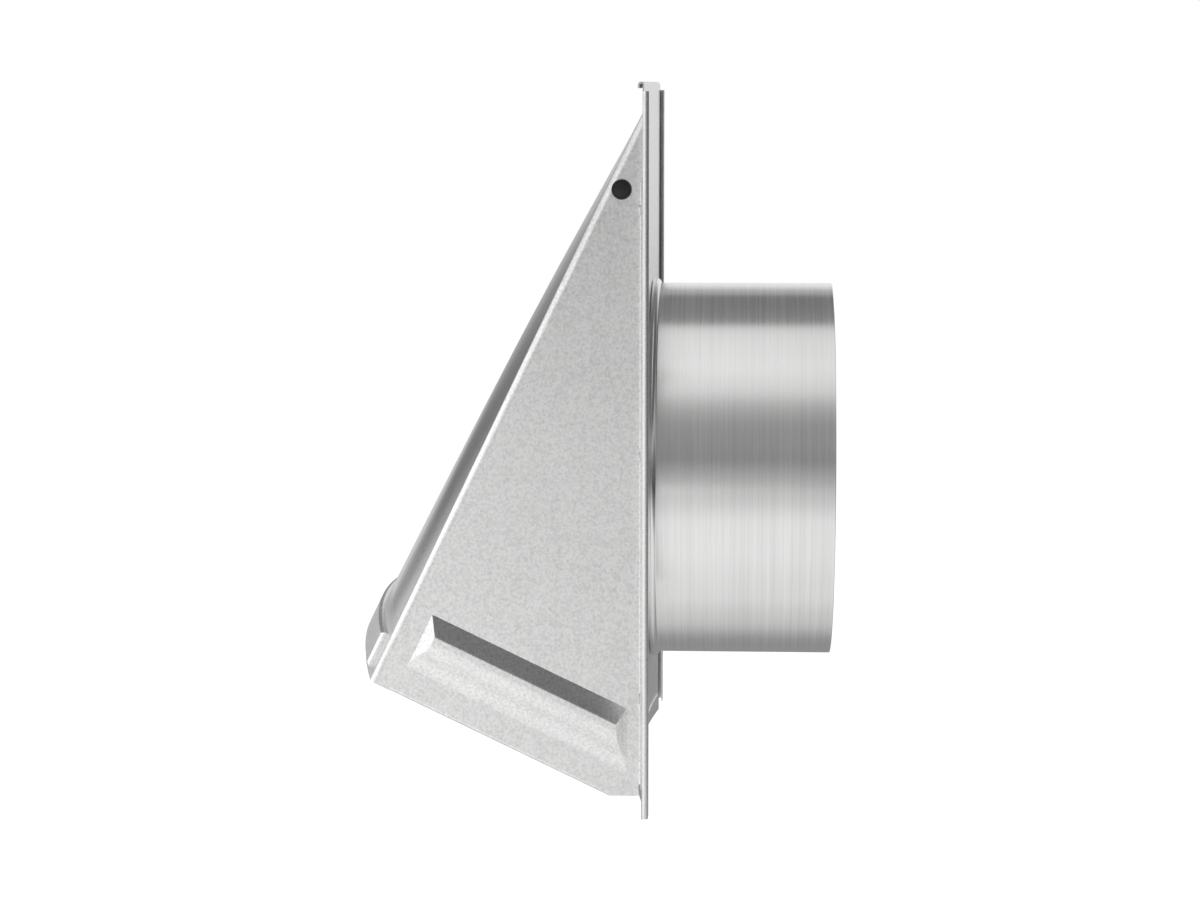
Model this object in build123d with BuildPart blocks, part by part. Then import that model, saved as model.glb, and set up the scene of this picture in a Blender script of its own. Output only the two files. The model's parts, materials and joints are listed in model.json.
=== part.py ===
"""Wall vent hood for a round duct: folded hood, hemmed wall plate, duct collar, damper and bird screen.

Millimetres. +Z is up, the hood faces -Y and the collar runs into the wall along +Y.
The origin lies on the collar's axis, where its straight wall starts behind the stop bead.
"""

from build123d import *
from math import cos, radians, sin, sqrt
import os

# Sheet and bends
sheet = 0.6
fold_radius = 3.0
flange_bend = 1.0

# Duct collar
collar_radius = 75.0
collar_length = 68.8
bead_width = 3.6
bead_height = 1.8
bead_crest = 1.6
flat_bead_height = 2.0
seam_lap_angle = 10.0
seam_groove_width = 0.5
seam_groove_depth = 0.25
collar_hole_clearance = 0.1

# Wall plate
plate_width = 215.0
plate_top = 155.8
plate_bottom = -120.0
hem_gap = 1.3
hem_depth = 6.0
curl_radius = 1.2
curl_depth = 1.2
hem_notch = 3.5
hem_foot = 0.5
dish_half = 86.0
dish_height = 28.0
dish_depth = 6.0
dish_hem = 7.0
screw_hole_radius = 2.5
screw_outset = 7.0
screw_top_z = 138.6
screw_bottom_z = -96.4

# Hood
hood_width = 180.0
roof_angle = 25.67
roof_top = 145.2
roof_length = 240.2
roof_leg = 8.0
cheek_overlap = 2.0
crown_stations = (-10.0, 55.0, 115.0, 175.0)
crown_heights = (0.4, 5.0, 7.9, 9.7)
mouth_crown = 11.2
top_flange_gap = 1.0
top_flange_inset = 4.0
cheek_mouth_length = 100.7
flange_reach = 14.5
flange_top = 118.6
flange_bottom = -110.4
flange_corner = 6.0
lip_width = 5.5
lip_bend = 1.2

# Pressed ribs, measured from the mouth
rib_height = 4.0
rib_soften = 1.2
rib_low = 11.0
rib_low_slope = 14.0
rib_high = 33.8
rib_high_slope = 6.5
rib_front = 10.2
rib_front_slope = 4.6
rib_back = 6.0
rib_back_slope = 4.0
roof_rib_low = 2.5
roof_rib_high = 17.0
roof_rib_half_length = 79.0
roof_rib_height = 2.0
roof_rib_bevel = 1.0

# Damper and its pins
pivot_setback = 8.3
pivot_z = 116.0
pin_radius = 1.95
pin_running_clearance = 0.05
pin_head_radius = 3.8
pin_head_height = 1.7
pin_head_bevel = 0.8
pin_length = 9.0
flap_lead = 0.9
flap_rim_gap = 0.3
flap_side_gap = 0.8
flap_bottom = -82.0
flap_top_drop = 5.0
flap_lip = 4.0
flap_bend = 0.8
ear_root = 9.0
ear_above = 4.2
ear_behind = 4.2
ear_round = 2.5

# Bird screen
wire = 0.9
screen_pitch = 12.0
screen_edge_gap = 0.2
screen_overhang = 2.0
screen_wire_end = 2.0
screen_roof_gap = 2.0

# Planes and edges that the pieces share
plate_back = -bead_width
plate_front = plate_back - sheet
pivot_y = plate_front - pivot_setback
flap_back = pivot_y - flap_lead
rim_y = flap_back + flap_rim_gap
hood_half = hood_width / 2
screw_x = hood_half + screw_outset
inner_half = hood_half - sheet
flap_half = inner_half - flap_side_gap
corner_setback = sheet + flange_bend
flange_root = plate_front - corner_setback
pin_hole_radius = pin_radius + pin_running_clearance
hem_radius = sheet + hem_gap / 2
slope_sin = sin(radians(roof_angle))
slope_cos = cos(radians(roof_angle))
roof_down = (0, -slope_sin, -slope_cos)
roof_out = (0, -slope_cos, slope_sin)
roof_in_line = (0, slope_sin, slope_cos)
mouth_line = (0, slope_cos, -slope_sin)
mouth_y = plate_front - roof_length * slope_sin
mouth_z = roof_top - roof_length * slope_cos


def roof_plane(station):
    """Plane square to the roof at a distance down its slope: X across, Y out of the roof."""
    place = (0, plate_front - station * slope_sin, roof_top - station * slope_cos)
    return Plane(origin=place, x_dir=(1, 0, 0), z_dir=roof_down)


def mouth(along, inward):
    """Y and Z of a point in the cheek, measured along the mouth from the roof and inward from it."""
    y = mouth_y + along * slope_cos + inward * slope_sin
    z = mouth_z - along * slope_sin + inward * slope_cos
    return (y, z)


def mouth_at_y(y, inward):
    """Y and Z of the point at a given Y and a given distance inward from the mouth."""
    along = (y - mouth_y - inward * slope_sin) / slope_cos
    return mouth(along, inward)


def roof_block(half, drop, corner, overrun):
    """Solid under the crowned roof, lofted down the slope through one section at each station."""
    stations = (crown_stations[0] - overrun, *crown_stations[1:], roof_length + overrun)
    crowns = (*crown_heights, mouth_crown)
    with BuildPart() as block:
        for station, crown in zip(stations, crowns):
            with BuildSketch(roof_plane(station)) as section:
                with BuildLine():
                    Polyline((-half, -drop), (-half, -roof_leg - overrun),
                             (half, -roof_leg - overrun), (half, -drop))
                    ThreePointArc((half, -drop), (0, crown - drop), (-half, -drop))
                make_face()
                fillet(section.vertices().group_by(Axis.Y)[-1], corner)
        loft()
    return block.part


def cheek_rib():
    """Pressed rib as a solid: steep above and at its ends, running out softly towards the mouth."""
    crest = rib_low + rib_low_slope
    ridge = rib_high - rib_high_slope
    place = Plane((hood_half, *mouth(rib_front, 0)), roof_in_line, mouth_line)
    front_in = (-rib_front_slope, rib_height * slope_cos, -rib_height * slope_sin)
    back_in = (-rib_back_slope, -rib_height, 0)
    with BuildPart() as rib:
        with BuildSketch(place) as section:
            with BuildLine():
                foot = TangentArc((rib_low, 0), ((rib_low + crest) / 2, rib_height / 2), tangent=(1, 0))
                TangentArc(foot @ 1, (crest, rib_height), tangent=foot % 1)
                Polyline((crest, rib_height), (ridge, rib_height), (rib_high, 0), (rib_low, 0))
            make_face()
            fillet(section.vertices().sort_by_distance((ridge, rib_height))[0], rib_soften)
        extrude(amount=cheek_mouth_length)
        split(bisect_by=Plane(place.origin, z_dir=front_in), keep=Keep.TOP)
        split(bisect_by=Plane((hood_half, plate_front - rib_back, 0), z_dir=back_in), keep=Keep.TOP)
    return rib.part


def roof_rib(inset):
    """Pressed rib across the crowned roof as a solid, made smaller all round by the inset."""
    middle = roof_length - (roof_rib_low + roof_rib_high) / 2
    share = (middle - crown_stations[-1]) / (roof_length - crown_stations[-1])
    crown = crown_heights[-1] + share * (mouth_crown - crown_heights[-1])
    radius = (hood_half**2 + crown**2) / (2 * crown)
    centre = crown - radius
    half = roof_rib_half_length - inset
    outer = radius + roof_rib_height - inset
    inner = radius - sheet / 2 - inset
    with BuildPart() as rib:
        with BuildSketch(roof_plane(roof_length - roof_rib_high + inset)):
            with BuildLine():
                top = ThreePointArc((-half, centre + sqrt(outer**2 - half**2)), (0, centre + outer),
                                    (half, centre + sqrt(outer**2 - half**2)))
                foot = ThreePointArc((half, centre + sqrt(inner**2 - half**2)), (0, centre + inner),
                                     (-half, centre + sqrt(inner**2 - half**2)))
                Line(top @ 1, foot @ 0)
                Line(foot @ 1, top @ 0)
            make_face()
        extrude(amount=roof_rib_high - roof_rib_low - 2 * inset)
        chamfer(rib.faces().sort_by(Axis((0, 0, 0), roof_out))[-1].edges(), roof_rib_bevel)
    return rib.part


def hem_section(place, radius, depth):
    """Folded edge in section: the bend starts at the plane's origin, the leaf lies back over the sheet."""
    with BuildSketch(place) as section:
        with BuildLine():
            ThreePointArc((0, 0), (radius, radius), (0, 2 * radius))
            Polyline((0, 2 * radius), (-depth, 2 * radius), (-depth, 2 * radius - sheet),
                     (0, 2 * radius - sheet))
            ThreePointArc((0, 2 * radius - sheet), (radius - sheet, radius), (0, sheet))
            Line((0, sheet), (0, 0))
        make_face()
    return section.sketch


def bowed_strip(z, bow, front, back):
    """Section of the plate's dished low edge at one height, bowed forward between the cheeks."""
    with BuildSketch(Plane.XY.offset(z)) as section:
        with BuildLine():
            ThreePointArc((-dish_half, front), (0, front - bow), (dish_half, front))
            Line((dish_half, front), (dish_half, back))
            ThreePointArc((dish_half, back), (0, back - bow), (-dish_half, back))
            Line((-dish_half, back), (-dish_half, front))
        make_face()
    return section.sketch


os.makedirs("parts", exist_ok=True)

# Wall plate: side hems fold to the back, the top edge curls forward, the low edge is dished and hemmed flat
side_flat = plate_width / 2 - hem_radius
top_flat = plate_top - curl_radius
curl_run = plate_width - 2 * hem_notch
dish_top = plate_bottom + dish_height
hem_top = plate_bottom + dish_hem
hem_dish = dish_depth * (1 - dish_hem / dish_height)
side_place = Plane((side_flat, plate_front, plate_bottom + hem_foot), (1, 0, 0), (0, 0, 1))
side_hem = hem_section(side_place, hem_radius, hem_depth)
top_place = Plane((-curl_run / 2, plate_back, top_flat), (0, 0, 1), (1, 0, 0))
top_curl = hem_section(top_place, curl_radius, curl_depth)
with BuildPart() as dish:
    with BuildSketch(Plane.XY.offset(dish_top)):
        with Locations((0, (plate_front + plate_back) / 2)):
            Rectangle(2 * dish_half, sheet)
    add(bowed_strip(plate_bottom, dish_depth, plate_front, plate_back))
    loft()
with BuildPart() as low_hem:
    add(bowed_strip(hem_top, hem_dish, plate_front + sheet / 2, plate_back + sheet))
    add(bowed_strip(plate_bottom, dish_depth, plate_front + sheet / 2, plate_back + sheet))
    loft()
with BuildPart() as wall_plate:
    with BuildSketch(Plane.XZ.offset(-plate_back)):
        with Locations((0, (top_flat + plate_bottom) / 2)):
            Rectangle(2 * side_flat, top_flat - plate_bottom)
        with Locations((0, (dish_top + plate_bottom) / 2)):
            Rectangle(2 * dish_half, dish_height, mode=Mode.SUBTRACT)
        Circle(collar_radius + collar_hole_clearance, mode=Mode.SUBTRACT)
        with Locations((screw_x, screw_top_z), (-screw_x, screw_top_z),
                       (screw_x, screw_bottom_z), (-screw_x, screw_bottom_z)):
            Circle(screw_hole_radius, mode=Mode.SUBTRACT)
    extrude(amount=sheet)
    extrude(side_hem, amount=plate_top - hem_notch - plate_bottom - hem_foot)
    mirror(about=Plane.YZ)
    extrude(top_curl, amount=curl_run)
    add(dish.part)
    add(low_hem.part)
wall_plate.part.label = "wall_plate"
export_step(wall_plate.part, "parts/wall_plate.step")

# Flange that a cheek turns out into, flat on the front of the wall plate
with BuildPart() as side_flange:
    with BuildSketch(Plane.XY.offset(flange_bottom)):
        with BuildLine():
            bend = (hood_half + flange_bend, flange_root)
            Polyline((hood_half + flange_bend, plate_front), (hood_half + flange_reach, plate_front),
                     (hood_half + flange_reach, plate_front - sheet),
                     (hood_half + flange_bend, plate_front - sheet))
            CenterArc(bend, flange_bend, 90, 90)
            Line((hood_half, flange_root), (inner_half, flange_root))
            CenterArc(bend, flange_bend + sheet, 180, -90)
        make_face()
    extrude(amount=flange_top - flange_bottom)
    corner_edges = side_flange.edges().filter_by(Axis.Y).group_by(Axis.X)[-1]
    chamfer(corner_edges.sort_by(Axis.Z)[0], flange_corner)

# Crowned roof with its two bends, cut off where it meets the front of the wall plate
roof_outside = roof_block(hood_half, 0, fold_radius, 0)
roof_inside = roof_block(inner_half, sheet, fold_radius - sheet, cheek_overlap)
with BuildPart() as roof:
    add(roof_outside)
    add(roof_inside, mode=Mode.SUBTRACT)
    split(bisect_by=Plane.XZ.offset(-plate_front), keep=Keep.TOP)

# Hood: cheeks, flanges and lips on one side are mirrored, then the crowned roof joins them
cheek_top = roof_top - (roof_leg - cheek_overlap) / slope_sin
corner_z = mouth(cheek_mouth_length, 0)[1]
rib_form = cheek_rib()
roof_rib_outside = roof_rib(0)
roof_rib_inside = roof_rib(sheet)
top_flange_low = roof_top - sheet * slope_cos / slope_sin - sheet / 2
top_flange_high = top_flat - top_flange_gap
with BuildPart() as hood:
    with BuildSketch(Plane.YZ.offset(inner_half)):
        with BuildLine():
            Polyline((plate_front, cheek_top), mouth(roof_leg - cheek_overlap, 0), mouth(roof_leg, 0),
                     mouth(roof_leg, lip_bend), mouth(cheek_mouth_length, lip_bend),
                     mouth(cheek_mouth_length, 0), (flange_root, corner_z), (flange_root, flange_top),
                     (plate_front, flange_top), close=True)
        make_face()
    extrude(amount=sheet)
    add(side_flange.part)
    lip_place = (0, *mouth(cheek_mouth_length, 0))
    with BuildSketch(Plane(lip_place, (1, 0, 0), roof_out)):
        with BuildLine():
            turn = (hood_half - lip_bend, lip_bend)
            CenterArc(turn, lip_bend, 0, -90)
            Polyline((hood_half - lip_bend, 0), (hood_half - lip_width, 0),
                     (hood_half - lip_width, sheet), (hood_half - lip_bend, sheet))
            CenterArc(turn, lip_bend - sheet, -90, 90)
            Line((inner_half, lip_bend), (hood_half, lip_bend))
        make_face()
    extrude(amount=cheek_mouth_length - roof_leg)
    add(rib_form)
    add(rib_form.moved(Location((-sheet, 0, 0))), mode=Mode.SUBTRACT)
    with BuildSketch(Plane.XZ.offset(-plate_front)):
        with Locations((screw_x, screw_bottom_z)):
            Circle(screw_hole_radius)
    extrude(amount=sheet, mode=Mode.SUBTRACT)
    mirror(about=Plane.YZ)
    add(roof.part)
    with BuildSketch(Plane.XZ.offset(-plate_front)):
        with Locations((0, (top_flange_low + top_flange_high) / 2)):
            Rectangle(hood_width - 2 * top_flange_inset, top_flange_high - top_flange_low)
    extrude(amount=sheet)
    add(roof_rib_outside)
    add(roof_rib_inside, mode=Mode.SUBTRACT)
    with BuildSketch(Plane.YZ.offset(-hood_half)):
        with Locations((pivot_y, pivot_z)):
            Circle(pin_hole_radius)
    extrude(amount=hood_width, mode=Mode.SUBTRACT)
hood.part.label = "hood"
export_step(hood.part, "parts/hood.step")

# Duct collar: a pressed fold and a stop bead lock it in the plate's hole, a lap seam runs along the bottom
lap_inner = collar_radius - 2 * sheet
lap_outer = collar_radius - sheet
fold_front = plate_front - 2 * sheet
fold_outer = collar_radius + flat_bead_height
bead_mid = plate_back + bead_width / 2
crest_outer = collar_radius + bead_height
crest_inner = crest_outer - sheet
groove_half = (bead_width - sheet) / 2
groove_crest = bead_crest - sheet
with BuildPart() as duct_collar:
    with BuildSketch(Plane.YZ):
        with BuildLine():
            Polyline((rim_y, lap_outer), (rim_y, collar_radius), (fold_front, collar_radius),
                     (fold_front, fold_outer), (plate_front, fold_outer), (plate_front, collar_radius),
                     (plate_back, collar_radius), (bead_mid - bead_crest / 2, crest_outer),
                     (bead_mid + bead_crest / 2, crest_outer), (0, collar_radius),
                     (collar_length, collar_radius), (collar_length, lap_outer),
                     (bead_mid + groove_half, lap_outer), (bead_mid + groove_crest / 2, crest_inner),
                     (bead_mid - groove_crest / 2, crest_inner), (bead_mid - groove_half, lap_outer),
                     close=True)
        make_face()
    revolve(axis=Axis.Y)
    with BuildSketch(Plane.XZ.offset(-collar_length)):
        with BuildLine():
            under = CenterArc((0, 0), lap_outer, -90 - seam_lap_angle / 2, seam_lap_angle)
            over = CenterArc((0, 0), lap_inner, -90 - seam_lap_angle / 2, seam_lap_angle)
            Line(under @ 0, over @ 0)
            Line(under @ 1, over @ 1)
        make_face()
    extrude(amount=collar_length)
    with BuildSketch(Plane.XY.offset(-collar_radius)):
        with Locations((0, collar_length / 2)):
            Rectangle(seam_groove_width, collar_length)
    extrude(amount=seam_groove_depth, mode=Mode.SUBTRACT)
duct_collar.part.label = "duct_collar"
export_step(duct_collar.part, "parts/duct_collar.step")

# Damper flap: hangs from two ears in front of the collar's rim and turns a stiffening lip forward
flap_front = flap_back - sheet
flap_top = pivot_z - flap_top_drop
ear_low = flap_top - ear_root
ear_high = pivot_z + ear_above
with BuildPart() as damper_flap:
    with BuildSketch(Plane.YZ.offset(-flap_half)) as flap_section:
        with BuildLine():
            Polyline((flap_back, flap_top), (flap_back, flap_bottom), (flap_front - flap_lip, flap_bottom),
                     (flap_front - flap_lip, flap_bottom + sheet), (flap_front, flap_bottom + sheet),
                     (flap_front, flap_top), close=True)
        make_face()
        low_back = flap_section.vertices().group_by(Axis.X)[-1].sort_by(Axis.Y)[0]
        fillet(low_back, flap_bend + sheet)
        inside = flap_section.vertices().sort_by_distance((flap_front, flap_bottom + sheet))[0]
        fillet(inside, flap_bend)
    extrude(amount=2 * flap_half)
    for ear_side in (flap_half - sheet, -flap_half):
        with BuildSketch(Plane.YZ.offset(ear_side)) as ear:
            with Locations(((flap_front + pivot_y + ear_behind) / 2, (ear_low + ear_high) / 2)):
                Rectangle(pivot_y + ear_behind - flap_front, ear_high - ear_low)
            fillet(ear.vertices().group_by(Axis.X)[-1], ear_round)
            with Locations((pivot_y, pivot_z)):
                Circle(pin_hole_radius, mode=Mode.SUBTRACT)
        extrude(amount=sheet)
damper_flap.part.label = "damper_flap"
export_step(damper_flap.part, "parts/damper_flap.step")

# Pivot pins: a round head on the cheek's outer face and a shank through the cheek and the flap's ear
with BuildPart() as pivot_pin_right:
    with BuildSketch(Plane.YZ.offset(hood_half)):
        with Locations((pivot_y, pivot_z)):
            Circle(pin_head_radius)
    extrude(amount=pin_head_height)
    chamfer(pivot_pin_right.edges().group_by(Axis.X)[-1], pin_head_bevel)
    with BuildSketch(Plane.YZ.offset(hood_half)):
        with Locations((pivot_y, pivot_z)):
            Circle(pin_radius)
    extrude(amount=-pin_length)
pivot_pin_right.part.label = "pivot_pin_right"
export_step(pivot_pin_right.part, "parts/pivot_pin_right.step")

with BuildPart() as pivot_pin_left:
    mirror(pivot_pin_right.part, about=Plane.YZ)
pivot_pin_left.part.label = "pivot_pin_left"
export_step(pivot_pin_left.part, "parts/pivot_pin_left.step")

# Bird screen: square mesh that lies on the mouth's two lips and runs on past the cheeks' low corners
screen_half = hood_half - lip_bend - screen_edge_gap
screen_columns = int(2 * (screen_half - screen_wire_end) / screen_pitch) + 1
screen_length = cheek_mouth_length + screen_overhang - screen_roof_gap
screen_rows = int((screen_length - 2 * screen_wire_end) / screen_pitch) + 1
screen_run = (screen_rows - 1) * screen_pitch
screen_middle = cheek_mouth_length + screen_overhang - screen_wire_end - screen_run / 2
screen_place = (0, *mouth(screen_middle, sheet))
with BuildPart() as bird_screen:
    with BuildSketch(Plane(screen_place, (1, 0, 0), roof_in_line)):
        with GridLocations(0, screen_pitch, 1, screen_rows):
            Rectangle(2 * screen_half, wire)
        with GridLocations(screen_pitch, 0, screen_columns, 1):
            Rectangle(wire, screen_run + 2 * screen_wire_end)
    extrude(amount=wire)
bird_screen.part.label = "bird_screen"
export_step(bird_screen.part, "parts/bird_screen.step")
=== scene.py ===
"""Wall vent hood in mill aluminium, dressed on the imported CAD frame. Metres, +Z up, hood towards -Y."""

import json
import math

import bmesh
import bpy
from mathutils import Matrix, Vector


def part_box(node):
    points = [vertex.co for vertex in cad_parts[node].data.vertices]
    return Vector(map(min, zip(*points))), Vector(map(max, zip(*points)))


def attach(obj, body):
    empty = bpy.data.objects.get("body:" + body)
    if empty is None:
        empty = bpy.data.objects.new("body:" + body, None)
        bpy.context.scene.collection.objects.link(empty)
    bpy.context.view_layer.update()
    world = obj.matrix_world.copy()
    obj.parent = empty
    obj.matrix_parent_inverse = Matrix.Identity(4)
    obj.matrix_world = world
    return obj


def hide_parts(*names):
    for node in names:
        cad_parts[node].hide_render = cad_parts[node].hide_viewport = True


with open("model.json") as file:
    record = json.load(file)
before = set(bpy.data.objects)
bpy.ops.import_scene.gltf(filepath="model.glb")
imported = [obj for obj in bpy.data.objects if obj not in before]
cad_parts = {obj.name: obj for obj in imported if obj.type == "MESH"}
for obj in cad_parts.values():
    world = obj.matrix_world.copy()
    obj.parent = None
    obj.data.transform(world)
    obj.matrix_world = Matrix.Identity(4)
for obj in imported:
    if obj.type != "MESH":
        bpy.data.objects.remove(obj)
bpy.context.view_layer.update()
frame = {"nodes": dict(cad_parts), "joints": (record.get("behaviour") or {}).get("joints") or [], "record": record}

MM = 0.001

# Camera
camera_azimuth = math.radians(92.78)
camera_elevation = math.radians(7.32)
camera_distance = 1161.8 * MM
camera_target = Vector((0, -24.9 * MM, 6.7 * MM))
camera_lens = 85.36
camera_sensor = 36

# Floor, and the lamp that throws the shadow on it
floor_height = -0.36
floor_reach = 6.0
floor_paint = 0.45
floor_glow = 0.62
lamp_place = Vector((0.25, -0.5, 1.1))
lamp_size = 0.9
lamp_power = 2.5

# Places read from the frame
collar_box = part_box("duct_collar")
screen_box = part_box("bird_screen")
hinge = Vector(frame["joints"][0]["pos_m"])
collar_mount = frame["record"]["mounts"][0]
collar_radius = collar_mount["dims"]["r_mm"] * MM
collar_length = collar_mount["dims"]["length_mm"] * MM

# Sizes of the sheet pieces that the frame doesn't give
sheet = 0.6 * MM
bead_width = 3.6 * MM
fold_height = 2.0 * MM
pin_radius = 1.95 * MM
pin_head_height = 1.7 * MM
roof_slope = math.radians(25.67)

# Distance of the roof's folds from the origin along its outward direction, and of its rib down its slope
roof_folds = 66.69 * MM
roof_rib = 94.0 * MM
roof_smoothing = 0.6


def plain_mesh(piece_name, points, faces):
    """New object with its place in its mesh."""
    mesh = bpy.data.meshes.new(piece_name)
    mesh.from_pydata(points, [], faces)
    piece = bpy.data.objects.new(piece_name, mesh)
    bpy.context.scene.collection.objects.link(piece)
    return piece


def smooth(piece, angle=math.radians(35)):
    """Smooth shading with sharp edges kept above the angle."""
    for face in piece.data.polygons:
        face.use_smooth = True
    piece.data.set_sharp_from_angle(angle=angle)


def even_turns(count):
    return [360 * step / count for step in range(count)]


def turned(piece_name, profile, place, axis_map, turns, press=None):
    """Ring of (along, radius) points swept through the turns, in degrees. Press may change some radii."""
    points = []
    faces = []
    count = len(profile)
    for turn in turns:
        angle = math.radians(turn)
        for along, radius in profile:
            reach = press(turn, along, radius) if press else radius
            points.append(place + axis_map(along, reach * math.cos(angle), reach * math.sin(angle)))
    for step in range(len(turns)):
        after = (step + 1) % len(turns)
        for i in range(count):
            j = (i + 1) % count
            faces.append((step * count + i, after * count + i, after * count + j, step * count + j))
    piece = plain_mesh(piece_name, points, faces)
    work = bmesh.new()
    work.from_mesh(piece.data)
    bmesh.ops.remove_doubles(work, verts=work.verts, dist=1e-7)
    bmesh.ops.dissolve_degenerate(work, edges=work.edges, dist=1e-8)
    bmesh.ops.recalc_face_normals(work, faces=work.faces)
    work.to_mesh(piece.data)
    work.free()
    smooth(piece)
    return piece


def arc(centre, radius, start, stop, steps):
    """Points of an arc as (along, radius) pairs, angles in degrees."""
    turns = [math.radians(start + (stop - start) * i / steps) for i in range(steps + 1)]
    return [(centre[0] + radius * math.cos(t), centre[1] + radius * math.sin(t)) for t in turns]


# Shader node helpers


def link(tree, source, target):
    tree.links.new(source, target)


def math_node(tree, operation, first, second=None, clamp=False):
    """Math node whose inputs are sockets or plain numbers."""
    node = tree.nodes.new("ShaderNodeMath")
    node.operation = operation
    node.use_clamp = clamp
    for socket, value in zip(node.inputs, (first, second)):
        if value is None:
            continue
        if isinstance(value, (int, float)):
            socket.default_value = value
        else:
            link(tree, value, socket)
    return node.outputs[0]


def map_range(tree, value, low, high, to_low, to_high, curve="LINEAR"):
    node = tree.nodes.new("ShaderNodeMapRange")
    node.interpolation_type = curve
    link(tree, value, node.inputs["Value"])
    node.inputs["From Min"].default_value = low
    node.inputs["From Max"].default_value = high
    node.inputs["To Min"].default_value = to_low
    node.inputs["To Max"].default_value = to_high
    return node.outputs[0]


def noise(tree, vector, scale, detail, rough=0.5):
    node = tree.nodes.new("ShaderNodeTexNoise")
    link(tree, vector, node.inputs["Vector"])
    if isinstance(scale, (int, float)):
        node.inputs["Scale"].default_value = scale
    else:
        link(tree, scale, node.inputs["Scale"])
    node.inputs["Detail"].default_value = detail
    node.inputs["Roughness"].default_value = rough
    return node.outputs["Fac"]


def blended(tree, factor, first, second):
    """First value, going over to the second as the factor goes from 0 to 1."""
    rest = math_node(tree, "SUBTRACT", 1.0, factor)
    kept = math_node(tree, "MULTIPLY", first, rest)
    return math_node(tree, "ADD", kept, math_node(tree, "MULTIPLY", second, factor))


def ramp(tree, value, levels):
    """Levels given at rising values, eased from one to the next."""
    low, high = levels[0][0], levels[-1][0]
    node = tree.nodes.new("ShaderNodeValToRGB")
    node.color_ramp.interpolation = "EASE"
    stops = node.color_ramp.elements
    while len(stops) < len(levels):
        stops.new(0.5)
    for stop, (where, level) in zip(stops, levels):
        stop.position = (where - low) / (high - low)
        stop.color = (level, level, level, 1)
    link(tree, map_range(tree, value, low, high, 0.0, 1.0), node.inputs[0])
    return node.outputs[0]


def rolled_grain_group():
    """Tone, roughness and height of rolled sheet: fine mottle, streaks along the rolling and slow clouds."""
    group = bpy.data.node_groups.new("rolled_grain", "ShaderNodeTree")
    sockets = (
        ("Vector", "NodeSocketVector", None),
        ("Streak Stretch", "NodeSocketVector", (1, 1, 1)),
        ("Mottle", "NodeSocketFloat", 0.5),
        ("Streaks", "NodeSocketFloat", 0.5),
        ("Cloud", "NodeSocketFloat", 0.5),
        ("Base Roughness", "NodeSocketFloat", 0.35),
        ("Roughness Swing", "NodeSocketFloat", 0.1),
    )
    for name, kind, value in sockets:
        socket = group.interface.new_socket(name, in_out="INPUT", socket_type=kind)
        if value is not None:
            socket.default_value = value
    for name in ("Tone", "Roughness", "Height"):
        group.interface.new_socket(name, in_out="OUTPUT", socket_type="NodeSocketFloat")
    inside = group.nodes.new("NodeGroupInput")
    outside = group.nodes.new("NodeGroupOutput")
    where = inside.outputs["Vector"]
    stretch = group.nodes.new("ShaderNodeVectorMath")
    stretch.operation = "MULTIPLY"
    link(group, where, stretch.inputs[0])
    link(group, inside.outputs["Streak Stretch"], stretch.inputs[1])
    mottle = noise(group, where, 950.0, 3.0, 0.65)
    streaks = noise(group, stretch.outputs[0], 1.0, 5.0, 0.7)
    cloud = noise(group, where, 16.0, 3.0, 0.5)
    mixed = 0.0
    for value, amount in ((mottle, "Mottle"), (streaks, "Streaks"), (cloud, "Cloud")):
        centred = math_node(group, "SUBTRACT", value, 0.5)
        part = math_node(group, "MULTIPLY", centred, inside.outputs[amount])
        mixed = math_node(group, "ADD", part, mixed)
    tone = math_node(group, "ADD", mixed, 1.0)
    link(group, tone, outside.inputs["Tone"])
    swing = math_node(group, "MULTIPLY", mixed, inside.outputs["Roughness Swing"])
    rough = math_node(group, "ADD", inside.outputs["Base Roughness"], swing, clamp=True)
    link(group, rough, outside.inputs["Roughness"])
    link(group, math_node(group, "ADD", mixed, 0.5), outside.inputs["Height"])
    return group


rolled_grain = rolled_grain_group()


def new_material(name):
    material = bpy.data.materials.new(name)
    material.use_nodes = True
    tree = material.node_tree
    shader = tree.nodes["Principled BSDF"]
    where = tree.nodes.new("ShaderNodeTexCoord").outputs["Object"]
    return material, tree, shader, where


def metal(name, colour, stretch, mottle, streaks, cloud, rough, swing, grain_depth, wave_depth):
    """Bare rolled metal: grain from the shared group, and a slow waviness that bends its reflections."""
    material, tree, shader, where = new_material(name)
    grain = tree.nodes.new("ShaderNodeGroup")
    grain.node_tree = rolled_grain
    link(tree, where, grain.inputs["Vector"])
    grain.inputs["Streak Stretch"].default_value = stretch
    grain.inputs["Mottle"].default_value = mottle
    grain.inputs["Streaks"].default_value = streaks
    grain.inputs["Cloud"].default_value = cloud
    grain.inputs["Base Roughness"].default_value = rough
    grain.inputs["Roughness Swing"].default_value = swing
    tint = tree.nodes.new("ShaderNodeVectorMath")
    tint.operation = "SCALE"
    tint.inputs[0].default_value = colour
    link(tree, grain.outputs["Tone"], tint.inputs["Scale"])
    link(tree, tint.outputs[0], shader.inputs["Base Color"])
    link(tree, grain.outputs["Roughness"], shader.inputs["Roughness"])
    shader.inputs["Metallic"].default_value = 1.0
    wave = tree.nodes.new("ShaderNodeBump")
    wave.inputs["Distance"].default_value = wave_depth
    link(tree, noise(tree, where, 14.0, 2.0), wave.inputs["Height"])
    fine = tree.nodes.new("ShaderNodeBump")
    fine.inputs["Distance"].default_value = grain_depth
    link(tree, grain.outputs["Height"], fine.inputs["Height"])
    link(tree, wave.outputs["Normal"], fine.inputs["Normal"])
    link(tree, fine.outputs["Normal"], shader.inputs["Normal"])
    return material


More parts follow.
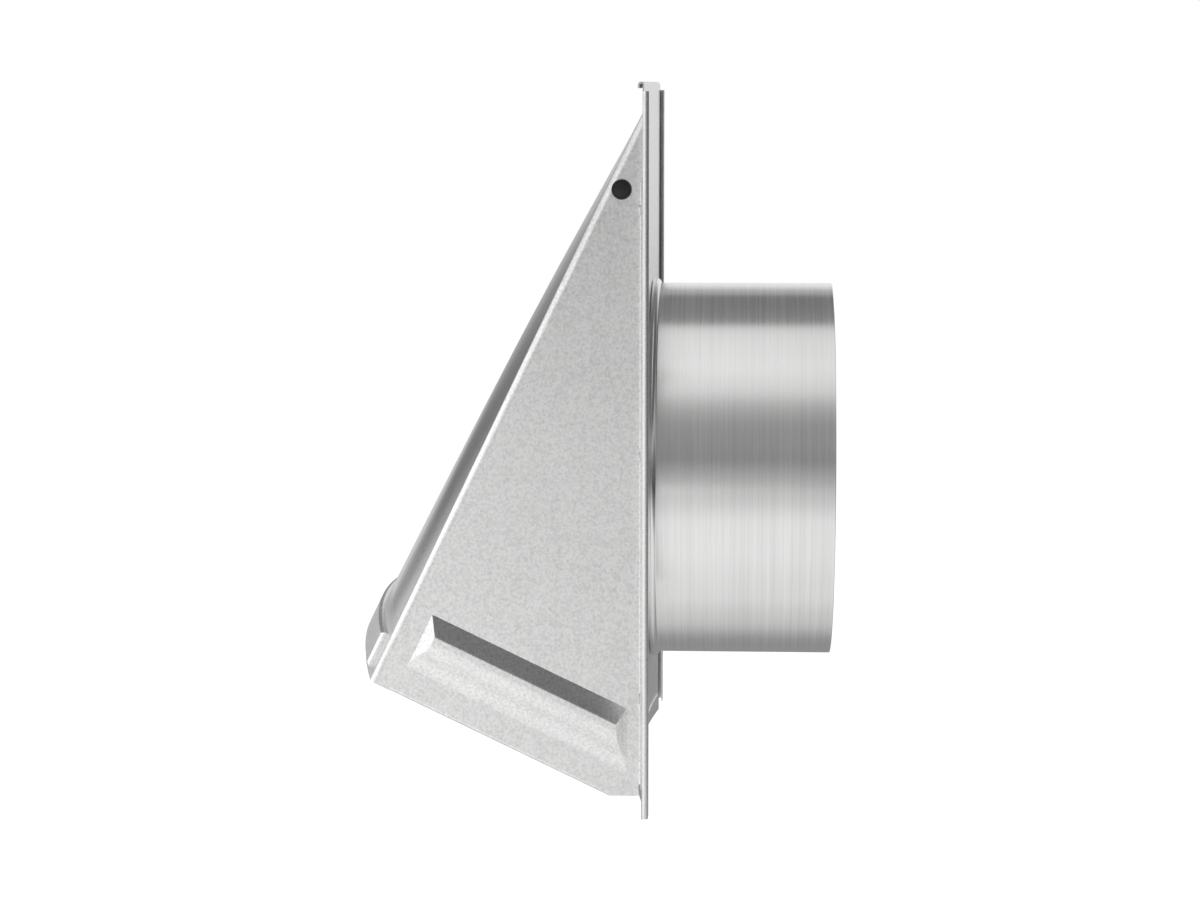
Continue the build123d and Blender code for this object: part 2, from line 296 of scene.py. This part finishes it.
def black_moulded(name):
    """Matt black plastic with a faint moulded grain."""
    material, tree, shader, where = new_material(name)
    grain = noise(tree, where, 900.0, 2.0)
    shade = map_range(tree, grain, 0.3, 0.7, 0.006, 0.012)
    colour = tree.nodes.new("ShaderNodeCombineColor")
    for channel in ("Red", "Green", "Blue"):
        link(tree, shade, colour.inputs[channel])
    link(tree, colour.outputs[0], shader.inputs["Base Color"])
    link(tree, map_range(tree, grain, 0.3, 0.7, 0.42, 0.56), shader.inputs["Roughness"])
    bump = tree.nodes.new("ShaderNodeBump")
    bump.inputs["Distance"].default_value = 0.03 * MM
    link(tree, grain, bump.inputs["Height"])
    link(tree, bump.outputs["Normal"], shader.inputs["Normal"])
    return material


hood_metal = metal(
    "hood_aluminium", (0.9, 0.9, 0.895), (260, 260, 45), mottle=0.90, streaks=0.14, cloud=0.10,
    rough=0.32, swing=0.12, grain_depth=0.02 * MM, wave_depth=0.10 * MM,
)
plate_metal = metal(
    "plate_aluminium", (0.92, 0.92, 0.915), (240, 240, 50), mottle=0.50, streaks=0.14, cloud=0.10,
    rough=0.33, swing=0.15, grain_depth=0.015 * MM, wave_depth=0.06 * MM,
)
flap_metal = metal(
    "flap_aluminium", (0.88, 0.88, 0.875), (260, 40, 40), mottle=0.50, streaks=0.16, cloud=0.10,
    rough=0.35, swing=0.15, grain_depth=0.015 * MM, wave_depth=0.12 * MM,
)
collar_metal = metal(
    "collar_aluminium", (0.9, 0.9, 0.895), (7, 900, 7), mottle=0.05, streaks=0.50, cloud=0.08,
    rough=0.19, swing=0.35, grain_depth=0.012 * MM, wave_depth=0.05 * MM,
)
wire_metal = metal(
    "galvanised_wire", (0.62, 0.63, 0.64), (400, 400, 400), mottle=0.35, streaks=0.20, cloud=0.30,
    rough=0.38, swing=0.30, grain_depth=0.03 * MM, wave_depth=0.0,
)
pin_black = black_moulded("pin_black")


def glossier_roof(material):
    """The crowned roof is smoother than the cheeks, outside the plane of its folds and above its rib."""
    tree = material.node_tree
    shader = tree.nodes["Principled BSDF"]
    where = tree.nodes.new("ShaderNodeTexCoord").outputs["Object"]

    def reach(direction):
        node = tree.nodes.new("ShaderNodeVectorMath")
        node.operation = "DOT_PRODUCT"
        node.inputs[1].default_value = direction
        link(tree, where, node.inputs[0])
        return node.outputs["Value"]

    out = reach((0, -math.cos(roof_slope), math.sin(roof_slope)))
    down = reach((0, -math.sin(roof_slope), -math.cos(roof_slope)))
    outside = map_range(tree, out, roof_folds - 1.0 * MM, roof_folds + 0.5 * MM, 0.0, roof_smoothing)
    above = map_range(tree, down, roof_rib - 8.0 * MM, roof_rib, 1.0, 0.0)
    share = math_node(tree, "SUBTRACT", 1.0, math_node(tree, "MULTIPLY", outside, above))
    rough = shader.inputs["Roughness"].links[0].from_socket
    link(tree, math_node(tree, "MULTIPLY", rough, share), shader.inputs["Roughness"])
    link(tree, share, shader.inputs["Normal"].links[0].from_node.inputs["Strength"])


glossier_roof(hood_metal)


def dress(piece, material):
    piece.data.materials.clear()
    piece.data.materials.append(material)


dress(frame["nodes"]["hood"], hood_metal)
dress(frame["nodes"]["wall_plate"], plate_metal)
dress(frame["nodes"]["damper_flap"], flap_metal)


# Duct collar with its stop bead rolled round, in the place of the CAD collar


def along_y(along, across, up):
    return Vector((across, along, up))


def turned_collar():
    """Sheet ring from the flap's seat to the plain end, with a fold, a stop bead and a lapped seam."""
    rim = collar_box[0].y
    outer = collar_radius
    inner = collar_radius - sheet
    plate_back = -bead_width
    plate_front = plate_back - sheet
    fold_front = plate_front - 2 * sheet
    fold_outer = collar_radius + fold_height
    bead_mid = plate_back / 2
    bead_radius = -plate_back / 2
    end = collar_length
    burr = 0.18 * MM
    bead_run_out = 8 * MM
    groove_depth = 0.25 * MM
    profile = [(rim, inner), (rim, outer - burr), (rim + burr, outer)]
    profile += [(fold_front, outer), (fold_front, fold_outer - sheet)]
    profile += arc((fold_front + sheet, fold_outer - sheet), sheet, 180, 0, 8)
    profile += [(plate_front, outer), (plate_back, outer)]
    profile += arc((bead_mid, outer), bead_radius, 172, 8, 14)
    profile += [(0.0, outer), (bead_run_out, outer), (end - burr, outer), (end, outer - burr)]
    profile += [(end, inner), (0.0, inner)]
    profile += arc((bead_mid, inner), bead_radius - sheet, 0, 180, 10)
    bottom = 270
    seam_turns = [bottom + side * edge for side in (-1, 1) for edge in (0.15, 0.25, 4.95, 5.05)]

    def seam(turn, along, radius):
        """Groove where the outer sheet ends at the bottom, and the lapped edge inside it."""
        from_bottom = abs(turn - bottom)
        if along < 0:
            return radius
        if radius > inner:
            return radius - groove_depth if from_bottom < 0.2 else radius
        return radius - sheet if from_bottom < 5 else radius

    ring = turned("collar_ring", profile, Vector(), along_y, sorted(even_turns(240) + seam_turns), seam)
    dress(ring, collar_metal)
    return ring


collar_ring = turned_collar()


# Pivot pins with domed heads


def turned_pin(side):
    """Black pin on the hinge axis: domed head on the cheek's outer face, shank through cheek and ear."""
    node = "pivot_pin_right" if side > 0 else "pivot_pin_left"
    low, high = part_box(node)
    outside = high.x if side > 0 else -low.x
    inside = low.x if side > 0 else -high.x
    head_radius = (high.z - low.z) / 2
    face = outside - pin_head_height
    shank = pin_radius
    tip = 0.4 * MM
    rim = 0.1 * MM
    edge = 0.7 * MM
    dome = 0.12 * MM
    profile = [(inside, 0.0), (inside, shank - tip), (inside + tip, shank), (face, shank)]
    profile += [(face, head_radius - rim), (face + rim, head_radius)]
    profile += arc((face + edge, head_radius - edge), edge, 0, 70, 6)
    profile += [(outside - dome, head_radius * 0.45), (outside, 0.0)]
    place = Vector((0, hinge.y, hinge.z))
    pin = turned(node + "_domed", profile, place, lambda a, b, c: Vector((side * a, b, c)), even_turns(48))
    dress(pin, pin_black)
    return pin


pins = {"pivot_pin_right": turned_pin(1), "pivot_pin_left": turned_pin(-1)}


# Geometry Nodes for what repeats


def new_tree(name, inputs):
    """Geometry tree with named size inputs and a geometry output."""
    tree = bpy.data.node_groups.new(name, "GeometryNodeTree")
    tree.interface.new_socket("Geometry", in_out="OUTPUT", socket_type="NodeSocketGeometry")
    for label, kind, value in inputs:
        socket = tree.interface.new_socket(label, in_out="INPUT", socket_type=kind)
        if value is not None:
            socket.default_value = value
    return tree, tree.nodes.new("NodeGroupInput").outputs, tree.nodes.new("NodeGroupOutput").inputs


def grown(piece_name, tree, values):
    """Runs a geometry tree with its inputs set and keeps the result as a plain mesh."""
    carrier = plain_mesh(piece_name + "_carrier", [(0, 0, 0)], [])
    modifier = carrier.modifiers.new("grow", "NODES")
    modifier.node_group = tree
    for item in tree.interface.items_tree:
        if item.in_out == "INPUT" and item.name in values:
            modifier[item.identifier] = values[item.name]
    bpy.context.view_layer.update()
    ready = carrier.evaluated_get(bpy.context.evaluated_depsgraph_get())
    mesh = bpy.data.meshes.new_from_object(ready)
    carrier.modifiers.remove(modifier)
    bpy.data.objects.remove(carrier)
    mesh.name = piece_name
    piece = bpy.data.objects.new(piece_name, mesh)
    bpy.context.scene.collection.objects.link(piece)
    return piece


def finish_tree(tree, geometry, material, output):
    """Every tree ends by realizing its instances and setting the material."""
    real = tree.nodes.new("GeometryNodeRealizeInstances")
    paint = tree.nodes.new("GeometryNodeSetMaterial")
    paint.inputs["Material"].default_value = material
    link(tree, geometry, real.inputs[0])
    link(tree, real.outputs[0], paint.inputs["Geometry"])
    link(tree, paint.outputs[0], output["Geometry"])


def button_form():
    """Clinched button as a small turned form: a low crown with a rounded rim and a shallow pit."""
    radius = 2.05 * MM
    height = 0.9 * MM
    edge = 0.45 * MM
    profile = [(-0.1 * MM, 0.0), (-0.1 * MM, radius + 0.25 * MM), (0.05 * MM, radius + 0.1 * MM)]
    profile += arc((height - edge, radius - edge), edge, 0, 90, 5)
    profile += [(height - 0.12 * MM, radius * 0.45), (height - 0.2 * MM, 0.0)]
    return turned("button_form", profile, Vector(), lambda a, b, c: Vector((b, c, a)), even_turns(24))


def clinch_tree(form):
    """Rows of clinched buttons, each turned to face out of its sheet."""
    tree, given, output = new_tree("clinch_rows", (
        ("Start", "NodeSocketVector", None),
        ("Step", "NodeSocketVector", None),
        ("Count", "NodeSocketInt", 3),
        ("Next Row", "NodeSocketVector", None),
        ("Rows", "NodeSocketInt", 1),
        ("Facing", "NodeSocketRotation", None),
    ))

    def points(count, step):
        line = tree.nodes.new("GeometryNodeMeshLine")
        line.mode = "OFFSET"
        link(tree, given[count], line.inputs["Count"])
        link(tree, given[step], line.inputs["Offset"])
        return line

    def placed(where, what):
        place = tree.nodes.new("GeometryNodeInstanceOnPoints")
        link(tree, where, place.inputs["Points"])
        link(tree, what, place.inputs["Instance"])
        return place

    source = tree.nodes.new("GeometryNodeObjectInfo")
    source.inputs["Object"].default_value = form
    row = points("Count", "Step")
    link(tree, given["Start"], row.inputs["Start Location"])
    buttons = placed(row.outputs[0], source.outputs["Geometry"])
    link(tree, given["Facing"], buttons.inputs["Rotation"])
    rows = placed(points("Rows", "Next Row").outputs[0], buttons.outputs[0])
    finish_tree(tree, rows.outputs[0], hood_metal, output)
    return tree


button = button_form()
clinches = clinch_tree(button)
flange_face = -bead_width - 2 * sheet
flange_clinch_x = 97.5 * MM
flange_clinch_top = 108.6 * MM
flange_clinch_step = -92 * MM
seam_clinch_first = 20 * MM
seam_clinch_step = 41 * MM
flange_clinches = grown("flange_clinches", clinches, {
    "Start": (flange_clinch_x, flange_face, flange_clinch_top),
    "Step": (0, 0, flange_clinch_step),
    "Count": 3,
    "Next Row": (-2 * flange_clinch_x, 0, 0),
    "Rows": 2,
    "Facing": (math.radians(90), 0, 0),
})
seam_clinches = grown("seam_clinches", clinches, {
    "Start": (0, seam_clinch_first, -collar_radius),
    "Step": (0, seam_clinch_step, 0),
    "Count": 2,
    "Facing": (math.radians(180), 0, 0),
})
dress(seam_clinches, collar_metal)
bpy.data.objects.remove(button)
for piece in (flange_clinches, seam_clinches):
    smooth(piece)


def screen_tree():
    """Welded mesh: cross wires on the mouth's lips and long wires laid over them, all round in section."""
    tree, given, output = new_tree("welded_screen", (
        ("Half Width", "NodeSocketFloat", None),
        ("Half Length", "NodeSocketFloat", None),
        ("Pitch", "NodeSocketFloat", None),
        ("Rows", "NodeSocketInt", None),
        ("Columns", "NodeSocketInt", None),
        ("Wire Radius", "NodeSocketFloat", None),
        ("Weld Sink", "NodeSocketFloat", None),
        ("Middle", "NodeSocketVector", None),
        ("Slope", "NodeSocketRotation", None),
    ))

    def joined(x, y, z):
        node = tree.nodes.new("ShaderNodeCombineXYZ")
        for socket, value in zip(node.inputs, (x, y, z)):
            if isinstance(value, (int, float)):
                socket.default_value = value
            else:
                link(tree, value, socket)
        return node.outputs[0]

    def spread(count):
        """Half the span of so many wires a pitch apart."""
        gaps = math_node(tree, "SUBTRACT", given[count], 1)
        return math_node(tree, "MULTIPLY", math_node(tree, "MULTIPLY", gaps, given["Pitch"]), 0.5)

    def wires(count, half, lengthwise, lift):
        span = spread(count)
        back = math_node(tree, "MULTIPLY", span, -1)
        near = math_node(tree, "MULTIPLY", given[half], -1)
        row = tree.nodes.new("GeometryNodeMeshLine")
        row.mode = "OFFSET"
        link(tree, given[count], row.inputs["Count"])
        start = joined(back, 0, lift) if lengthwise else joined(0, back, lift)
        step = joined(given["Pitch"], 0, 0) if lengthwise else joined(0, given["Pitch"], 0)
        link(tree, start, row.inputs["Start Location"])
        link(tree, step, row.inputs["Offset"])
        wire = tree.nodes.new("GeometryNodeCurvePrimitiveLine")
        link(tree, joined(0, near, 0) if lengthwise else joined(near, 0, 0), wire.inputs["Start"])
        link(tree, joined(0, given[half], 0) if lengthwise else joined(given[half], 0, 0), wire.inputs["End"])
        section = tree.nodes.new("GeometryNodeCurvePrimitiveCircle")
        section.inputs["Resolution"].default_value = 12
        link(tree, given["Wire Radius"], section.inputs["Radius"])
        tube = tree.nodes.new("GeometryNodeCurveToMesh")
        tube.inputs["Fill Caps"].default_value = True
        link(tree, wire.outputs[0], tube.inputs["Curve"])
        link(tree, section.outputs[0], tube.inputs["Profile Curve"])
        place = tree.nodes.new("GeometryNodeInstanceOnPoints")
        link(tree, row.outputs[0], place.inputs["Points"])
        link(tree, tube.outputs[0], place.inputs["Instance"])
        return place.outputs[0]

    thickness = math_node(tree, "MULTIPLY", given["Wire Radius"], 2)
    rise = math_node(tree, "SUBTRACT", thickness, given["Weld Sink"])
    both = tree.nodes.new("GeometryNodeJoinGeometry")
    link(tree, wires("Rows", "Half Width", False, 0.0), both.inputs[0])
    link(tree, wires("Columns", "Half Length", True, rise), both.inputs[0])
    tilt = tree.nodes.new("GeometryNodeTransform")
    link(tree, both.outputs[0], tilt.inputs["Geometry"])
    link(tree, given["Middle"], tilt.inputs["Translation"])
    link(tree, given["Slope"], tilt.inputs["Rotation"])
    finish_tree(tree, tilt.outputs[0], wire_metal, output)
    return tree


wire_radius = 0.45 * MM
screen_middle = (screen_box[0] + screen_box[1]) / 2
screen_half_length = 50.0 * MM
bird_wires = grown("bird_wires", screen_tree(), {
    "Half Width": (screen_box[1].x - screen_box[0].x) / 2,
    "Half Length": screen_half_length,
    "Pitch": 12.0 * MM,
    "Rows": 9,
    "Columns": 15,
    "Wire Radius": wire_radius,
    "Weld Sink": 0.2 * MM,
    "Middle": tuple(screen_middle),
    "Slope": (-roof_slope, 0, 0),
})
smooth(bird_wires)

# Every piece rides on the body that carries it
for piece in (collar_ring, flange_clinches, seam_clinches, bird_wires, *pins.values()):
    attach(piece, "housing")
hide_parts("duct_collar")
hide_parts("bird_screen")
for node, pin in pins.items():
    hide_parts(node)


# Floor, world, lamp and camera


# What the metal sees of the floor: brightness at metres from the object towards the camera's side
floor_levels = (
    (-0.50, 0.29), (-0.22, 0.29), (-0.16, 0.32), (-0.11, 0.40), (-0.07, 0.50), (-0.03, 0.59), (0.02, 0.64),
    (0.13, 0.77), (0.40, 0.85), (0.75, 0.84), (1.2, 0.69), (1.7, 0.58), (6.0, 0.50),
)
# Cards on the floor: soft edges in metres, from where the card starts to where it is full, and its brightness
floor_cards = (
    ((("across", -1.4, -2.2), ("deep", -1.5, -0.8)), 0.65),
    ((("across", 0.05, 0.4), ("deep", -0.04, -0.28)), 1.0),
    ((("deep", 0.5, 1.1),), 0.22),
    ((("deep", 1.5, 2.2),), 0.04),
)
# Light strips round the collar's axis: degrees from the camera's side up and over
studio_strips = (
    (0, 0.46), (5, 0.36), (12, 0.235), (22, 0.27), (33, 0.30), (40, 0.38), (47, 0.50), (53, 0.72), (60, 0.81),
    (71, 0.88), (85, 0.83), (98, 0.78), (102, 0.72), (109, 0.22), (130, 0.18), (140, 0.16), (144, 0.38),
    (151, 0.42), (157, 0.68), (165, 0.84), (180, 0.88),
)
# In front of the object: brightness by height, as the upward part of the direction, and a bright low card
front_edges = (("deep", -0.3, -0.65),)
front_levels = ((0.0, 0.85), (0.20, 0.85), (0.40, 0.68), (0.60, 0.60), (0.85, 0.42), (1.0, 0.42))
front_card_edges = (*front_edges, ("aside", 0.78, 0.45), ("height", 0.06, 0.14), ("height", 0.35, 0.28))
front_card_level = 1.45
# Behind it: brightness by height
back_edges = (("deep", 0.03, 0.21), ("across", -0.75, -0.3))
back_levels = ((0.0, 0.10), (0.10, 0.14), (0.32, 0.42), (0.55, 0.09), (1.0, 0.09))
# Past it, away from the camera: brightness by depth, as the backward part of the direction
left_edges = (("across", -0.3, -0.7), ("deep", -0.02, -0.14))
left_levels = (
    (-0.70, 0.58), (-0.43, 0.58), (-0.40, 0.42), (-0.37, 0.23), (-0.33, 0.16), (-0.28, 0.17), (-0.24, 0.22),
    (-0.19, 0.33), (-0.14, 0.46), (-0.08, 0.56), (0.0, 0.60),
)


def soft_card(tree, measures, edges):
    """Mask with soft edges. Each rises from 0 to 1 as its measure goes from the first limit to the second."""
    mask = 1.0
    for measure, clear, full in edges:
        ends = (0.0, 1.0) if clear < full else (1.0, 0.0)
        edge = map_range(tree, measures[measure], min(clear, full), max(clear, full), *ends, "SMOOTHSTEP")
        mask = math_node(tree, "MULTIPLY", edge, mask)
    return mask


def glossy_choice(tree, plain, mirrored):
    """One shader for what metal mirrors and another for everything else that is seen."""
    choice = tree.nodes.new("ShaderNodeMixShader")
    link(tree, tree.nodes.new("ShaderNodeLightPath").outputs["Is Glossy Ray"], choice.inputs[0])
    link(tree, plain.outputs[0], choice.inputs[1])
    link(tree, mirrored.outputs[0], choice.inputs[2])
    return choice


def studio_floor():
    """Pale floor well below the object: white to the camera with a soft shadow, strips and cards in metal."""
    floor = plain_mesh("studio_floor", [
        (-floor_reach, -floor_reach, floor_height), (floor_reach, -floor_reach, floor_height),
        (floor_reach, floor_reach, floor_height), (-floor_reach, floor_reach, floor_height)], [(0, 1, 2, 3)])
    material = bpy.data.materials.new("floor_white")
    material.use_nodes = True
    tree = material.node_tree
    tree.nodes.clear()
    output = tree.nodes.new("ShaderNodeOutputMaterial")
    path = tree.nodes.new("ShaderNodeLightPath")
    where = tree.nodes.new("ShaderNodeSeparateXYZ")
    link(tree, tree.nodes.new("ShaderNodeTexCoord").outputs["Object"], where.inputs[0])
    measures = {"across": where.outputs["X"], "deep": where.outputs["Y"]}
    paint = tree.nodes.new("ShaderNodeBsdfDiffuse")
    paint.inputs["Color"].default_value = (floor_paint, floor_paint, floor_paint, 1)
    glow = tree.nodes.new("ShaderNodeEmission")
    seen = math_node(tree, "MAXIMUM", path.outputs["Is Camera Ray"], path.outputs["Is Transmission Ray"])
    link(tree, math_node(tree, "MULTIPLY", seen, floor_glow), glow.inputs["Strength"])
    lit = tree.nodes.new("ShaderNodeAddShader")
    link(tree, paint.outputs[0], lit.inputs[0])
    link(tree, glow.outputs[0], lit.inputs[1])
    level = ramp(tree, measures["across"], floor_levels)
    for edges, brightness in floor_cards:
        level = blended(tree, soft_card(tree, measures, edges), level, brightness)
    mirrored = tree.nodes.new("ShaderNodeEmission")
    link(tree, level, mirrored.inputs["Strength"])
    above = glossy_choice(tree, lit, mirrored)
    one_sided = tree.nodes.new("ShaderNodeMixShader")
    link(tree, tree.nodes.new("ShaderNodeNewGeometry").outputs["Backfacing"], one_sided.inputs[0])
    link(tree, above.outputs[0], one_sided.inputs[1])
    link(tree, tree.nodes.new("ShaderNodeBsdfTransparent").outputs[0], one_sided.inputs[2])
    link(tree, one_sided.outputs[0], output.inputs["Surface"])
    floor.data.materials.append(material)


def studio_world():
    """White to the camera. In metal it shows soft strips overhead, a bright front low down and a dim back."""
    world = bpy.data.worlds.new("studio")
    world.use_nodes = True
    bpy.context.scene.world = world
    tree = world.node_tree
    tree.nodes.clear()
    output = tree.nodes.new("ShaderNodeOutputWorld")
    way = tree.nodes.new("ShaderNodeSeparateXYZ")
    link(tree, tree.nodes.new("ShaderNodeTexCoord").outputs["Generated"], way.inputs[0])
    across, deep = way.outputs["X"], way.outputs["Y"]
    aside = math_node(tree, "ABSOLUTE", across)
    height = math_node(tree, "ABSOLUTE", way.outputs["Z"])
    measures = {"across": across, "deep": deep, "aside": aside, "height": height}
    turn = math_node(tree, "MULTIPLY", math_node(tree, "ARCTAN2", height, across), 180 / math.pi)
    level = ramp(tree, turn, studio_strips)
    for edges, brightness in (
        (front_edges, ramp(tree, height, front_levels)),
        (front_card_edges, front_card_level),
        (back_edges, ramp(tree, height, back_levels)),
        (left_edges, ramp(tree, deep, left_levels)),
    ):
        level = blended(tree, soft_card(tree, measures, edges), level, brightness)
    studio = tree.nodes.new("ShaderNodeBackground")
    studio.inputs["Color"].default_value = (1, 1, 1, 1)
    link(tree, level, studio.inputs["Strength"])
    white = tree.nodes.new("ShaderNodeBackground")
    white.inputs["Color"].default_value = (1, 1, 1, 1)
    link(tree, glossy_choice(tree, white, studio).outputs[0], output.inputs["Surface"])


def softbox():
    """Large lamp up and to the front, for the shadow on the floor. Metal sees the world's strips instead."""
    lamp = bpy.data.lights.new("softbox", "AREA")
    lamp.shape = "RECTANGLE"
    lamp.size = lamp_size
    lamp.size_y = lamp_size
    lamp.energy = lamp_power
    holder = bpy.data.objects.new("softbox", lamp)
    holder.location = lamp_place
    holder.rotation_euler = (-lamp_place).to_track_quat("-Z", "Y").to_euler()
    holder.visible_glossy = False
    bpy.context.scene.collection.objects.link(holder)


def photo_camera():
    lens = bpy.data.cameras.new("camera")
    lens.lens = camera_lens
    lens.sensor_width = camera_sensor
    holder = bpy.data.objects.new("camera", lens)
    level = math.cos(camera_elevation)
    back = Vector((
        math.sin(camera_azimuth) * level, -math.cos(camera_azimuth) * level, math.sin(camera_elevation)))
    holder.location = camera_target + back * camera_distance
    holder.rotation_mode = "QUATERNION"
    holder.rotation_quaternion = (-back).to_track_quat("-Z", "Y")
    bpy.context.scene.collection.objects.link(holder)
    bpy.context.scene.camera = holder


studio_floor()
studio_world()
softbox()
photo_camera()
bpy.context.scene.view_settings.view_transform = "Standard"
